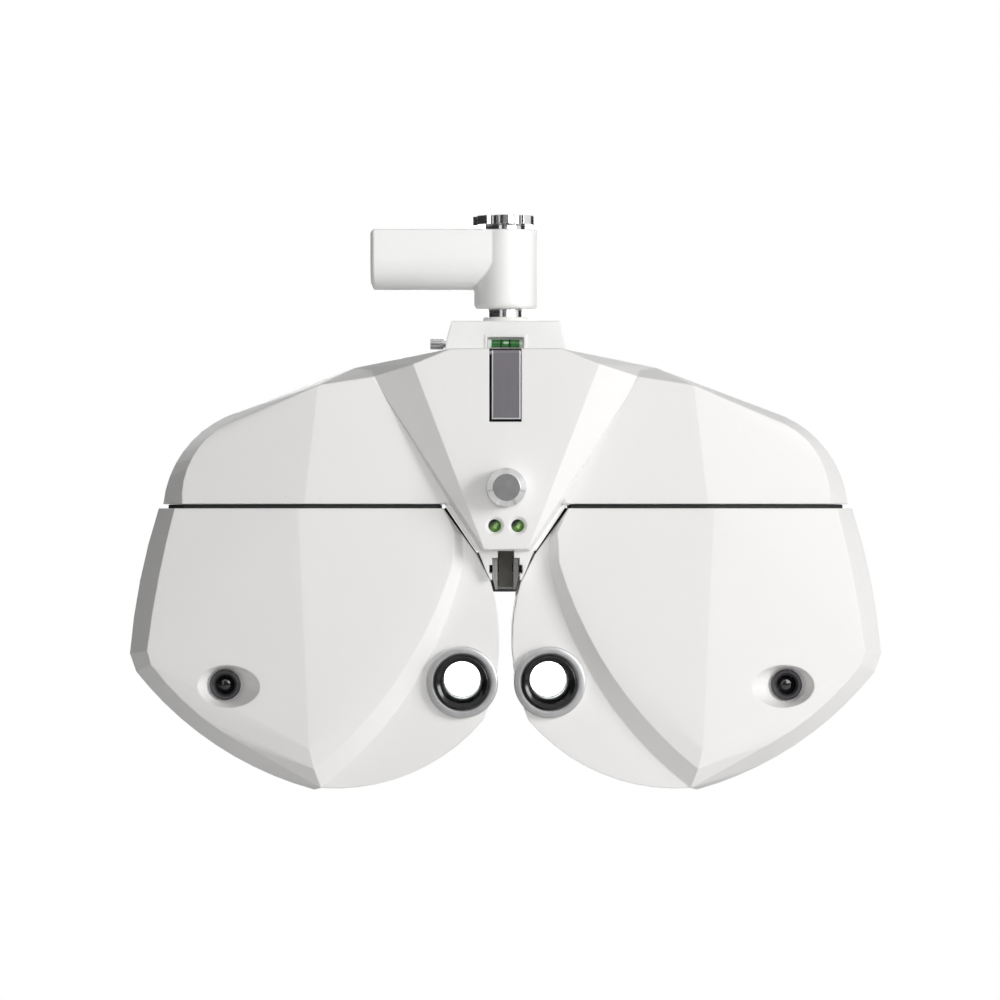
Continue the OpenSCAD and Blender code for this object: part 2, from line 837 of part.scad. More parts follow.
module pd_motor() {
  x0 = lug_x + lug_t / 2;
  color("dimgray")
    difference() {
      rod_along_x(pd_motor_d, screw_y, rod_z, x0, x0 + pd_motor_l);
      rod_along_x(pd_screw_d + 2 * pass_gap, screw_y, rod_z, x0 - 1, x0 + lug_t + 3);
    }
}

// Centre panel fittings

module near_lamps() {
  dome = 1.2;
  sunk = 2.5;
  y0 = -panel_front + sunk;
  color("yellowgreen")
    for (s = [-1, 1])
      turned_y([[0, y0], [lamp_d / 4, y0 + 0.3], [lamp_d / 2 - 0.05, y0 + dome],
        [lamp_d / 2 - 0.05, room_front], [0, room_front]], [s * lamp_step / 2, lamp_z]);
}

module lamp_board() {
  color("darkgreen")
    box(-lamp_step / 2 - 6, lamp_step / 2 + 6, room_front, room_front + 1.6, lamp_z - 6, lamp_z + 6);
}

module near_rod_holder() {
  knuckle = 2 * holder_t;
  color("gray")
    difference() {
      union() {
        box(-holder_w / 2, holder_w / 2, -panel_front, -panel_front + holder_t,
          holder_top - holder_h, holder_pin_z);
        rod_along_x(holder_t, holder_pin_y, holder_pin_z, -holder_w / 2, holder_w / 2);
      }
      rod_along_x(holder_pin_d + 2 * shaft_fit, holder_pin_y, holder_pin_z, -holder_w, holder_w);
      box(-holder_w / 2 + 3, holder_w / 2 - 3, -panel_front + holder_t - 0.8, 0,
        holder_top - holder_h + 3, holder_pin_z - knuckle);
    }
}

module holder_pin() {
  half = holder_w / 2 + 3;
  color("silver")
    rod_along_x(holder_pin_d, holder_pin_y, holder_pin_z, -half, half);
}

module forehead_knob() {
  r = forehead_knob_d / 2;
  face_r = forehead_face_d / 2;
  back = -panel_front - pass_gap;
  front = back - forehead_knob_l;
  lip = 1.5;
  tip = 2;
  color("silver")
    union() {
      turned_y([[0, front], [face_r, front], [r - 1, front + 3.5], [r, front + 3.5 + lip],
        [r, back], [0, back]], [0, knob_z]);
      rod_along_y(forehead_screw_d, [0, knob_z], back - 1, tip);
    }
}

module forehead_carriage() {
  half = 9;
  nut_y0 = -30;
  nut_y1 = -14;
  arm_foot = tip_z - 20;
  color("dimgray")
    difference() {
      union() {
        box(-half, half, nut_y0, nut_y1, knob_z - half, knob_z + half);
        box(-hanger_bar_w / 2, hanger_bar_w / 2, hanger_y0, hanger_y1, arm_foot, knob_z);
      }
      rod_along_y(forehead_screw_d + 2 * shaft_fit, [0, knob_z], nut_y0 - 1, nut_y1 + 1);
      rod_along_x(cross_pin_d + 2 * seat_fit, cross_y, cross_z, -half, half);
    }
}

// Folded steel channel round the hanger bar, with the stem that carries the pad
module hanger_clevis() {
  half = clevis_w / 2;
  foot = tip_z - 21.5;
  taper = 1.6;
  front = hanger_y0 - 1;
  back = hanger_y1 + 1 + clevis_t;
  color("darkgray")
    difference() {
      union() {
        slab([
          [-half, clevis_top],
          [-half, foot + 4 * taper],
          [-half + taper, foot],
          [half - taper, foot],
          [half, foot + 4 * taper],
          [half, clevis_top]
        ], front, back);
        rod_along_y(stem_d, [0, rest_z], back - 1, pad_y + 1);
      }
      box(-half + clevis_t, half - clevis_t, front - 1, back - clevis_t, foot - 1, clevis_top + 1);
      rod_along_x(cross_pin_d + 2 * seat_fit, cross_y, cross_z, -clevis_w, clevis_w);
    }
}

module cross_pin() {
  color("black")
    rod_along_x(cross_pin_d, cross_y, cross_z, -cross_half, cross_half);
}

// Curved rubber pad on its backing, hollowed to the brow
module forehead_pad() {
  brow_r = 90;
  color("dimgray")
    difference() {
      hull()
        for (s = [-1, 1]) {
          rod_along_y(pad_h - 4, [s * (pad_w - pad_h) / 2, rest_z], pad_y, pad_y + pad_t);
          rod_along_y(pad_h, [s * (pad_w - pad_h) / 2, rest_z], pad_y + 2, pad_y + pad_t - 2);
        }
      translate([0, pad_y + pad_t / 2 + brow_r, rest_z - pad_h])
        cylinder(r = brow_r, h = 2 * pad_h, $fn = 128);
      rod_along_y(stem_d + 2 * seat_fit, [0, rest_z], pad_y - 1, pad_y + 1);
    }
}

// Lower heads, drawn for the left side

head_right = concat(
  bend(head_keel + [4.6, 1.2], crescent_low, crescent_turn, 10),
  after_first(bend(crescent_turn, crescent_side, crescent_high, 10)),
  [throat_low, throat_high]
);
head_loop = concat(
  bend(head_outer, head_flank, head_corner, 4),
  bend(head_chin, head_belly, head_keel, 10),
  head_right
);

// Bevel's inner edge and the shield's rim above the crescent
face_flank = bend(
  [beyond(-7.9), -head_top],
  [beyond(1.5), below(43.7)],
  [beyond(7.3), below(80.7)], 4);
face_belly = bend([beyond(5.1), below(88)], [-155.6, below(124.9)], [-107.9, below(145.8)], 8);
rim_top = bend([-104.9, below(144.8)], [-55.7, below(90.2)], [-29, below(32.3)], 10);
rim_foot = bend([-101.4, below(155.8)], [-48.2, below(96)], [-23.5, below(32.4)], 10);
crescent_edge = concat(
  bend(rim_foot[0], crescent_low, crescent_turn, 10),
  after_first(bend(crescent_turn, crescent_side, crescent_high, 10)),
  [throat_low, throat_high]
);
rim_end = [-28.1, below(15.3)];
foot_end = [-24.1, below(17.6)];

module shield_skin() {
  skin(concat(
    at_depth(bend(head_outer, head_flank, head_corner, 4), bevel_y),
    at_depth(bend(head_chin, head_belly, head_keel, 10), bevel_y),
    at_depth([throat_high], bevel_y),
    at_depth(face_flank, wing_face_y),
    at_depth(face_belly, wing_face_y),
    at_depth(concat(rim_top, [rim_end]), step_y),
    at_depth(concat(rim_foot, [foot_end]), crescent_y),
    [
      [-113.5, -ridge_front, -head_top],
      [-107.5, -ridge_front, below(133.7)],
      [throat_high.x, step_y, -head_top]
    ]
  ));
}

// Room behind the front faces
head_room = inset(concat(
  face_flank,
  face_belly,
  bend([-92, below(151.2)], crescent_low, crescent_turn, 8),
  after_first(bend(crescent_turn, crescent_side, crescent_high, 10)),
  [throat_low, throat_high]
), wall);

align_c = [-152.6, below(100)];
align_eye = [-154.2, below(99.3)];
align_half = [18.5, 12.2];
align_floor = -36;
align_depth = 12;
align_boss_d = 26;

// Dished recess round the alignment window: an oval that narrows to the ring at its outer end
module align_dish() {
  narrow = [(align_d / 2 + 0.6) / align_half.x, (align_d / 2 + 0.6) / align_half.y];
  apex = [
    (align_eye.x - narrow.x * align_c.x) / (1 - narrow.x),
    (align_eye.y - narrow.y * align_c.y) / (1 - narrow.y)
  ];
  oval = [for (a = [0:10:350]) align_c - apex + [align_half.x * cos(a), align_half.y * sin(a)]];
  translate([apex.x, align_floor - align_depth, apex.y])
    rotate([-90, 0, 0])
      mirror([0, 1, 0])
        linear_extrude(align_depth, scale = narrow, slices = 1)
          polygon(oval);
}

module front_cover() {
  color("white")
    difference() {
      union() {
        shield_skin();
        slab(concat(crescent_edge, [[-112, -head_top], [-112, below(125.7)]]), crescent_y, bevel_y);
        slab(head_loop, bevel_y, split_y);
      }
      difference() {
        slab(head_room, crescent_y + wall + 0.5, bevel_y + 1);
        rod_along_y(align_boss_d, align_eye, crescent_y, -30);
      }
      slab(inset(head_loop, wall), bevel_y, split_y + 1);
      rod_along_y(bezel_d - 2, window, -panel_front, bevel_y + 1);
      align_dish();
      rod_along_y(align_d, align_eye, -panel_front, bevel_y + 1);
      translate([-pivot_x, -pivot_front, -head_top - wall - 1])
        cylinder(d = pivot_d + 2 * pass_gap, h = wall + 2);
    }
}

module rear_cover() {
  edge = 8;
  shoulder_y = rear_y - edge;
  slots = 5;
  slot_step = 6;
  slot_h = 2.5;
  color("white")
    difference() {
      union() {
        slab(inset(head_loop, seam), split_y, split_y + seam);
        slab(head_loop, split_y + seam, shoulder_y);
        skin(concat(at_depth(head_loop, shoulder_y), at_depth(inset(head_loop, edge), rear_y)));
      }
      slab(inset(head_loop, wall), split_y - 1, shoulder_y - 1);
      rod_along_y(eyepiece_d, window, 0, rear_y + 1);
      for (i = [0:slots - 1])
        box(-160, -120, shoulder_y - 2, rear_y + 1,
          below(43.7 - slot_step * i), below(43.7 - slot_step * i - slot_h));
    }
}

// Plate that carries the axle, the motors and the pivot boss
module chassis() {
  boss_d = pivot_d + 5;
  boss_foot = spigot_foot + flange_t + 0.3;
  color("lightsteelblue")
    difference() {
      union() {
        slab(inset(head_loop, wall + 0.4), plate_y0, plate_y0 + plate_t);
        translate([-pivot_x, -pivot_front, boss_foot])
          cylinder(d = boss_d, h = -head_top - wall - 0.4 - boss_foot);
        box(-pivot_x - boss_d / 2, -pivot_x + boss_d / 2, -pivot_front, plate_y0 + 1,
          boss_foot, -head_top - wall - 0.4);
      }
      translate([-pivot_x, -pivot_front, spigot_foot - 1])
        cylinder(d = pivot_d + 2 * shaft_fit, h = 40);
      translate([-pivot_x, -pivot_front, spigot_foot - 4])
        cylinder(d = flange_d + 2 * pass_gap, h = flange_t + 4.3);
      rod_along_y(bezel_d - 2 + pass_gap, window, plate_y0 - 1, plate_y0 + plate_t + 1);
      rod_along_y(align_d + pass_gap, align_eye, plate_y0 - 1, plate_y0 + plate_t + 1);
      rod_along_y(axle_d + 2 * seat_fit, disc_c, plate_y0 - 1, plate_y0 + plate_t + 1);
      for (a = [sphere_motor_a, cylinder_motor_a])
        rod_along_y(6, polar(disc_c, mesh_r, a), plate_y0 - 1, plate_y0 + plate_t + 1);
      for (a = [60, 110, 250])
        rod_along_y(26, polar(disc_c, 36, a), plate_y0 - 1, plate_y0 + plate_t + 1);
    }
}

// Slide block on the guide rods, with the pivot that carries a head
module carriage() {
  color("darkgray")
    difference() {
      union() {
        box(-pivot_x - carriage_w / 2, -pivot_x + carriage_w / 2,
          screw_y - rod_step - 7, screw_y + rod_step + 7, rod_z - carriage_h / 2, rod_z + carriage_h / 2);
        translate([-pivot_x, -pivot_front, spigot_foot])
          cylinder(d = pivot_d, h = rod_z - 6 - spigot_foot);
        translate([-pivot_x, -pivot_front, spigot_foot])
          cylinder(d = flange_d, h = flange_t);
      }
      for (y = [screw_y - rod_step, screw_y + rod_step])
        rod_along_x(rod_d + 2 * shaft_fit, y, rod_z, -pivot_x - carriage_w, -pivot_x + carriage_w);
      rod_along_x(pd_screw_d + 2 * shaft_fit, screw_y, rod_z, -pivot_x - carriage_w, -pivot_x + carriage_w);
    }
}

bezel_front = -46;

module window_ring() {
  r = ring_d / 2;
  inner = bezel_d / 2;
  lip = bezel_d / 2 - 1;
  color("silver")
    turned_y([[lip, crescent_y], [r, crescent_y], [r, crescent_y - 2], [r - 1, crescent_y - 3.4],
      [inner + 1, crescent_y - 3.4], [inner, crescent_y - 2.6], [inner, crescent_y - 1],
      [lip, crescent_y - 1]], window);
}

module window_bezel() {
  r = bezel_d / 2;
  bore = bezel_bore / 2;
  tube = r - 1;
  stop = aperture_d / 2 + 0.3;
  back = sphere_y - disc_hub_over - pass_gap;
  color("black")
    turned_y([[stop, back], [tube - 0.05, back], [tube - 0.05, crescent_y - 1], [r - 0.05, crescent_y - 1],
      [r - 0.05, bezel_front + 1], [r - 1, bezel_front], [r - 2, bezel_front],
      [bore, bezel_front + 4], [bore, back - 2], [stop, back - 1]], window);
}

module window_glass() {
  color("aliceblue", 0.4)
    rod_along_y(bezel_bore - 2 * seat_fit, window, -30, -28);
}

module align_ring() {
  r = align_d / 2;
  bore = align_glass_d / 2;
  color("gray")
    turned_y([[bore, -22.5], [r - 0.05, -22.5], [r - 0.05, align_floor - 2], [r - 1.2, align_floor - 3],
      [bore + 1, align_floor - 3], [bore, align_floor - 1.5]], align_eye);
}

// Strongly domed lens
module align_glass() {
  dome = 8;
  dome_y = align_floor + dome + 0.8;
  steps = 6;
  cap = [
    for (i = [0:steps])
      let (x = align_glass_d / 2 * i / steps)
      [x, dome_y - sqrt(dome * dome - x * x)]
  ];
  color("darkslategray", 0.6)
    turned_y(concat(cap, [[align_glass_d / 2, -28], [0, -28]]), align_eye);
}

module eyepiece() {
  bore = aperture_d / 2;
  r = eyepiece_d / 2;
  flare = r - 1.3;
  front = cylinder_y + disc_t + disc_hub_over + pass_gap;
  color("black")
    turned_y([[bore, front], [r - 2.5, front], [r - 0.05, front + 4], [r - 0.05, rear_y], [r + 2, rear_y],
      [r + 2, rear_y + 2], [r - 0.2, rear_y + 5], [r - 0.7, rear_y + 5], [flare, rear_y + 1]], window);
}

// Shallow cup that keeps the face off the eyepiece
module face_shield() {
  r = shield_d / 2;
  seat = eyepiece_d / 2 + 2.05;
  color("ghostwhite")
    turned_y([[seat, rear_y], [r - 1.5, rear_y], [r, rear_y + 2.5], [r, rear_y + 6], [r - 1.4, rear_y + 6],
      [r - 1.4, rear_y + 3], [r - 2.2, rear_y + 2], [seat, rear_y + 2]], window);
}

module disc_axle() {
  color("silver")
    union() {
      rod_along_y(axle_d, disc_c, plate_y0, cylinder_y + disc_t + 6);
      rod_along_y(axle_d + 5, disc_c, plate_y0 + plate_t, sphere_y - disc_hub_over - 0.3);
      rod_along_y(axle_d + 4, disc_c, cylinder_y + disc_t + disc_hub_over + 0.3, cylinder_y + disc_t + 6);
    }
}

// Toothed wheel with one opening turned to the window
module lens_disc(y, phase) {
  window_a = atan2(window.y - disc_c.y, window.x - disc_c.x);
  color("gray")
    difference() {
      union() {
        translate([disc_c.x, 0, disc_c.y])
          slab(toothed(disc_teeth, tooth_m, phase), y, y + disc_t);
        rod_along_y(disc_hub_d, disc_c, y - disc_hub_over, y + disc_t + disc_hub_over);
      }
      rod_along_y(axle_d + 2 * shaft_fit, disc_c, y - disc_t, y + 2 * disc_t);
      for (i = [0:lens_count - 1]) {
        c = polar(disc_c, lens_r, window_a + 360 / lens_count * i);
        rod_along_y(i == 0 ? free_d : lens_d, c, y - 1, y + disc_t - lens_seat_t);
        rod_along_y(i == 0 ? free_d : lens_d - 1.6, c, y - 1, y + disc_t + 1);
      }
    }
}

// Lenses in every opening but the free one at the window
module lens_set(y, thick) {
  window_a = atan2(window.y - disc_c.y, window.x - disc_c.x);
  color("lightcyan", 0.5)
    for (i = [1:lens_count - 1])
      rod_along_y(lens_d, polar(disc_c, lens_r, window_a + 360 / lens_count * i),
        y + disc_t - lens_seat_t - thick, y + disc_t - lens_seat_t);
}

module sphere_disc() {
  lens_disc(sphere_y, sphere_motor_a);
}

module sphere_lenses() {
  lens_set(sphere_y, 2.2);
}

module cylinder_disc() {
  lens_disc(cylinder_y, cylinder_motor_a);
}

module cylinder_lenses() {
  lens_set(cylinder_y, 1.6);
}

module disc_motors() {
  color("dimgray")
    for (a = [sphere_motor_a, cylinder_motor_a]) {
      c = polar(disc_c, mesh_r, a);
      difference() {
        rod_along_y(motor_d, c, plate_y0 - motor_l, plate_y0);
        rod_along_y(4, c, plate_y0 - motor_l / 2, plate_y0 + 1);
      }
    }
}

// Pinion on its motor shaft
module pinion(y, a) {
  c = polar(disc_c, mesh_r, a);
  shaft_d = 4 - 2 * shaft_fit;
  color("goldenrod")
    union() {
      translate([c.x, 0, c.y])
        slab(toothed(pinion_teeth, tooth_m, a + 180 + 180 / pinion_teeth), y - 0.5, y + disc_t + 0.5);
      rod_along_y(shaft_d, c, plate_y0 - motor_l / 2 + 1, y + disc_t);
    }
}

module sphere_pinion() {
  pinion(sphere_y, sphere_motor_a);
}

module cylinder_pinion() {
  pinion(cylinder_y, cylinder_motor_a);
}

module from_swivel() {
  translate([arm_reach, 0, 0])
    children();
}

from_swivel() arm_sleeve();
from_swivel() clamp_knob();
from_swivel() swivel_shaft();
from_swivel() tilt_pin();
from_swivel() top_bracket();
from_swivel() level_vial();
from_swivel() level_knob();
from_swivel() bridge_frame();
from_swivel() upper_front_cover();
from_swivel() upper_rear_cover();
from_swivel() guide_rods();
from_swivel() pd_screw();
from_swivel() pd_motor();
from_swivel() near_lamps();
from_swivel() lamp_board();
from_swivel() near_rod_holder();
from_swivel() holder_pin();
from_swivel() forehead_knob();
from_swivel() forehead_carriage();
from_swivel() hanger_clevis();
from_swivel() cross_pin();
from_swivel() forehead_pad();
for (s = ["left", "right"]) {
  from_swivel() on_side(s) carriage();
  from_swivel() on_side(s) front_cover();
  from_swivel() on_side(s) rear_cover();
  from_swivel() on_side(s) chassis();
  from_swivel() on_side(s) window_ring();
  from_swivel() on_side(s) window_bezel();
  from_swivel() on_side(s) window_glass();
  from_swivel() on_side(s) align_ring();
  from_swivel() on_side(s) align_glass();
  from_swivel() on_side(s) eyepiece();
  from_swivel() on_side(s) face_shield();
  from_swivel() on_side(s) disc_axle();
  from_swivel() on_side(s) sphere_disc();
  from_swivel() on_side(s) sphere_lenses();
  from_swivel() on_side(s) cylinder_disc();
  from_swivel() on_side(s) cylinder_lenses();
  from_swivel() on_side(s) disc_motors();
  from_swivel() on_side(s) sphere_pinion();
  from_swivel() on_side(s) cylinder_pinion();
}
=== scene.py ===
import json
import math

import bmesh
import bpy
from mathutils import Matrix, Vector


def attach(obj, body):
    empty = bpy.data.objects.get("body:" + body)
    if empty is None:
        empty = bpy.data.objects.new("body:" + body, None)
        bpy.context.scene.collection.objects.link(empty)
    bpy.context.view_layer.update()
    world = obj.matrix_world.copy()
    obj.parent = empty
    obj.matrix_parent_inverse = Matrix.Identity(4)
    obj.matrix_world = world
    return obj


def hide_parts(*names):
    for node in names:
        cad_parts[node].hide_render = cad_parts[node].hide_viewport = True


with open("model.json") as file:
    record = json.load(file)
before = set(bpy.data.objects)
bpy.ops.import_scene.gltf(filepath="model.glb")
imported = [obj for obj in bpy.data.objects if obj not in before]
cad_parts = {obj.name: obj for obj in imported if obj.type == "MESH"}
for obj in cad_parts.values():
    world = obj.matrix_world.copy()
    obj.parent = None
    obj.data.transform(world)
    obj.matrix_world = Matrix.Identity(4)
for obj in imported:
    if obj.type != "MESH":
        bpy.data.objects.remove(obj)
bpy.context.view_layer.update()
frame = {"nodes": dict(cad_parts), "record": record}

NODES = frame["nodes"]
SIDES = {"left": -1, "right": 1}
MM = 0.001
TURN = 2 * math.pi
SHARP_ANGLE = math.radians(35)
ACROSS = (1, 0, 0)
BACKWARDS = (0, 1, 0)
WHITE = (1.0, 1.0, 1.0, 1.0)
BLACK = (0.0, 0.0, 0.0, 1.0)

# Places in millimetres from the swivel axis, as in the part's source.
# Where there is one on each side, the right one is given, and the left one mirrors it.
REACH = 75.0  # from the row frame's origin to the swivel axis
WINDOW = (24.0, -234.0)  # x and z of a sight window's axis
ALIGN_EYE = (154.2, -235.6)  # x and z of an alignment window's axis
REAR_Y = 42.0  # patient-side face of the rear covers
PANEL_Y = -58.0  # front of the centre panel
RECESS = (-9.2, 8.3, -91.7)  # left, right and lower edge of the steel plate's recess
PLATE = (7.8, -90.3)  # half width and lower edge of the steel plate
LAMP = (6.25, -148.2)  # x and z of a lamp's axis
VIAL = (-21.5, -47.4)  # y and z of the level vial's axis
THROAT = ((34.2, -138.7), (16.2, -163.7))  # x and z at the upper and lower end of a head's slanted flank
THROAT_ROOM = (1.67, 0.79)  # gap between flank and cover at those ends
PAD_BACK_Y = 53.0  # back of the solid brow pad
PAD_Z = -175.0  # middle of the brow pad
ARM_SCREW = (20.0 - REACH, 12.2, 0.0)  # foot of the screw in the arm sleeve

MIDDLE = (0.075, -0.02, -0.14)  # what the lamps point at, in metres


def spot(x, y, z):
    """A point given in millimetres from the swivel axis, in the row frame."""
    return Vector((x + REACH, y, z)) * MM


def srgb(red, green, blue):
    """A colour as it looks on a screen, for a shader's socket."""
    def linear(c):
        c /= 255
        return c / 12.92 if c <= 0.04045 else ((c + 0.055) / 1.055) ** 2.4
    return (linear(red), linear(green), linear(blue), 1.0)


def grey(level):
    """A grey of the given strength, for a shader's socket."""
    return (level, level, level, 1.0)


def paler(colour, gain, lift=0.0):
    """A lighter shade of a socket's colour."""
    return tuple(min(1.0, c * gain + lift) for c in colour[:3]) + (1.0,)


class Wire:
    """A node's output that takes part in shader maths."""

    def __init__(self, finish, socket):
        self.finish = finish
        self.socket = socket

    def maths(self, operation, first, second=0.0):
        return self.finish.node("ShaderNodeMath", {0: first, 1: second}, operation=operation)

    def __add__(self, other):
        return self.maths("ADD", self, other)

    __radd__ = __add__

    def __sub__(self, other):
        return self.maths("SUBTRACT", self, other)

    def __rsub__(self, other):
        return self.maths("SUBTRACT", other, self)

    def __mul__(self, other):
        return self.maths("MULTIPLY", self, other)

    __rmul__ = __mul__

    def __truediv__(self, other):
        return self.maths("DIVIDE", self, other)

    def __pow__(self, other):
        return self.maths("POWER", self, other)

    def __abs__(self):
        return self.maths("ABSOLUTE", self)

    def __or__(self, other):
        return self.maths("MAXIMUM", self, other)

    def over(self, limit):
        return self.maths("GREATER_THAN", self, limit)

    def under(self, limit):
        return self.maths("LESS_THAN", self, limit)

    def sign(self):
        return self.maths("SIGN", self)

    def wave(self):
        return self.maths("SINE", self)


class Finish:
    """One material, or the world, built from nodes."""

    def __init__(self, name, holder=None):
        self.material = holder or bpy.data.materials.new(name)
        self.material.use_nodes = True
        self.tree = self.material.node_tree
        self.tree.nodes.clear()

    def feed(self, socket, value):
        if isinstance(value, Wire):
            self.tree.links.new(value.socket, socket)
        else:
            socket.default_value = value

    def node(self, kind, sockets=None, out=0, **settings):
        made = self.tree.nodes.new(kind)
        for key, value in settings.items():
            setattr(made, key, value)
        for key, value in (sockets or {}).items():
            self.feed(made.inputs[key], value)
        return Wire(self, made.outputs[out]) if made.outputs else None

    def place(self):
        return self.node("ShaderNodeTexCoord", out="Object")

    def ray(self, kind):
        return self.node("ShaderNodeLightPath", out=kind)

    def stretched(self, at, scale):
        return self.node("ShaderNodeMapping", {"Vector": at, "Scale": scale})

    def axis(self, at, letter):
        return self.node("ShaderNodeSeparateXYZ", {0: at}, out=letter)

    def noise(self, at, scale, detail=2.0, roughness=0.5):
        sockets = {"Vector": at, "Scale": scale, "Detail": detail, "Roughness": roughness}
        return self.node("ShaderNodeTexNoise", sockets, out="Fac")

    def scratches(self, at, scale, width):
        sockets = {"Vector": at, "Scale": scale}
        edge = self.node("ShaderNodeTexVoronoi", sockets, out="Distance", feature="DISTANCE_TO_EDGE")
        return edge.under(width)

    def mix(self, first, second, share):
        """A colour between two. Inputs 6 and 7 and output 2 are the node's colour sockets."""
        return self.node("ShaderNodeMix", {0: share, 6: first, 7: second}, out=2, data_type="RGBA")

    def ramp(self, value, start, end, low=0.0):
        """A soft step from low at start to 1 at end."""
        sockets = {"Value": value, "From Min": start, "From Max": end, "To Min": low}
        return self.node("ShaderNodeMapRange", sockets, interpolation_type="SMOOTHSTEP")

    def relief(self, height, depth, strength, edge=0.0):
        """Bump from a height, on edges that are rounded where asked."""
        sockets = {"Strength": strength, "Distance": depth, "Height": height}
        if edge:
            sockets["Normal"] = self.node("ShaderNodeBevel", {"Radius": edge}, samples=4)
        return self.node("ShaderNodeBump", sockets)

    def from_spot(self, at, x, z):
        """Steps across and up from a point in the front view."""
        return self.axis(at, "X") - (x + REACH) * MM, self.axis(at, "Z") - z * MM

    def from_axis(self, at, centre):
        """Distance from a line along Y through a point in the front view."""
        x, z = self.from_spot(at, *centre)
        return (x * x + z * z) ** 0.5

    def blend(self, first, second, share):
        return self.node("ShaderNodeMixShader", {0: share, 1: first, 2: second})

    def surface(self, sockets):
        return self.shown(self.node("ShaderNodeBsdfPrincipled", sockets))

    def shown(self, shader, output="ShaderNodeOutputMaterial"):
        self.node(output, {"Surface": shader})
        return self.material


def moulded_shell(name, recess_shade=False):
    """Spark-grained white moulding with softened edges.

    Where asked, painted shade: the steel plate's recess is coloured near black to stand in for its shadow.
    """
    f = Finish(name)
    at = f.place()
    cloud = f.noise(at, 9.0, detail=3.0)
    grain = f.noise(at, 2400.0)
    colour = f.mix(srgb(236, 235, 233), srgb(241, 240, 239), cloud)
    if recess_shade:
        left, right, foot = RECESS
        slack = 0.0001
        rim = 0.0003
        x, z = f.from_spot(at, (left + right) / 2, foot)
        inside = abs(x).under((right - left) / 2 * MM + slack) * z.over(-slack)
        sunk = f.axis(at, "Y").over(PANEL_Y * MM + rim)
        # Painted shade: near-black colour inside the steel plate's recess, where its shadow falls.
        colour = f.mix(colour, srgb(9, 9, 9), inside * sunk)
    return f.surface({
        "Base Color": colour,
        "Roughness": 0.36 + 0.10 * grain + 0.05 * cloud,
        "Normal": f.relief(grain, 0.00002, 0.35, edge=0.0011),
        "Specular IOR Level": 0.42,
    })


def sprayed_paint(name):
    """White paint on a casting, with a faint orange peel."""
    f = Finish(name)
    at = f.place()
    peel = f.noise(at, 520.0, detail=1.0)
    cloud = f.noise(at, 18.0)
    return f.surface({
        "Base Color": f.mix(srgb(249, 249, 247), srgb(253, 253, 251), cloud),
        "Roughness": 0.30 + 0.08 * cloud,
        "Normal": f.relief(peel, 0.00004, 0.25, edge=0.0014),
        "Coat Weight": 0.15 + 0.1 * peel,
        "Coat Roughness": 0.2,
    })


def plated(name, rough, grooves=None, tone=1.0):
    """Bright plating with fine handling marks, and turned grooves round a window where asked."""
    f = Finish(name)
    at = f.place()
    smear = f.noise(at, 160.0, detail=3.0)
    marks = f.scratches(f.stretched(at, (1.0, 1.0, 3.0)), 700.0, 0.012)
    height = smear * 0.2 + marks * 0.2
    strength = 0.15
    if grooves:
        height = (f.from_axis(at, grooves) * 9000.0).wave() * 0.5 + height
        strength = 0.4
    dull = srgb(214 * tone, 214 * tone, 216 * tone)
    bright = srgb(232 * tone, 232 * tone, 233 * tone)
    return f.surface({
        "Base Color": f.mix(dull, bright, smear),
        "Metallic": 1.0,
        "Roughness": rough + 0.08 * smear + 0.1 * marks,
        "Normal": f.relief(height, 0.00003, strength, edge=0.0004),
    })


def brushed(name, colour, along, rough, edge_highlight=False):
    """Metal brushed along one axis, with a highlight painted along the steel plate's edges where asked."""
    f = Finish(name)
    at = f.place()
    scale = tuple(30.0 if letter == along else 2200.0 for letter in "XYZ")
    lines = f.noise(f.stretched(at, scale), 1.0, detail=4.0, roughness=0.7)
    cloud = f.noise(at, 60.0)
    tone = f.mix(colour, paler(colour, 1.35), lines * 0.8 + cloud * 0.2)
    if edge_highlight:
        half_width, foot = PLATE
        edge_width = 0.7
        x, z = f.from_spot(at, 0.0, foot)
        edge = abs(x).over((half_width - edge_width) * MM) | z.under(edge_width * MM)
        # Painted highlight: a lighter steel colour along the plate's side and lower edges.
        tone = f.mix(tone, srgb(206, 206, 208), edge)
    return f.surface({
        "Base Color": tone,
        "Metallic": 1.0,
        "Roughness": rough + 0.15 * lines + 0.05 * cloud,
        "Normal": f.relief(lines, 0.00003, 0.3, edge=0.0003),
    })


def dark_finish(name, colour, rough, metallic=0.0, shine=0.5):
    """Black or grey plastic and oxide finishes with a fine grain."""
    f = Finish(name)
    at = f.place()
    grain = f.noise(at, 1500.0)
    cloud = f.noise(at, 40.0, detail=3.0)
    return f.surface({
        "Base Color": f.mix(colour, paler(colour, 1.5, 0.004), cloud),
        "Metallic": metallic,
        "Roughness": rough + 0.12 * grain,
        "Normal": f.relief(grain, 0.00003, 0.3, edge=0.0004),
        "Specular IOR Level": shine,
    })


def machined(name):
    """Milled aluminium with tool marks and clear anodising."""
    f = Finish(name)
    at = f.place()
    tool = (f.axis(at, "X") * 2600.0 + f.noise(at, 300.0) * 3.0).wave()
    cloud = f.noise(at, 70.0, detail=3.0)
    return f.surface({
        "Base Color": f.mix(srgb(176, 178, 182), srgb(205, 206, 209), cloud),
        "Metallic": 0.9,
        "Roughness": 0.34 + 0.1 * cloud + 0.04 * tool,
        "Normal": f.relief(tool, 0.00001, 0.3, edge=0.0004),
    })


def clear_glass(name, tint):
    """Coated glass with a trace of dust."""
    f = Finish(name)
    at = f.place()
    dust = f.noise(at, 900.0, detail=4.0, roughness=0.7)
    return f.surface({
        "Base Color": f.mix(tint, (0.98, 0.99, 1.0, 1.0), f.noise(at, 30.0)),
        "Roughness": 0.02 * dust,
        "Transmission Weight": 1.0,
        "IOR": 1.46,
    })


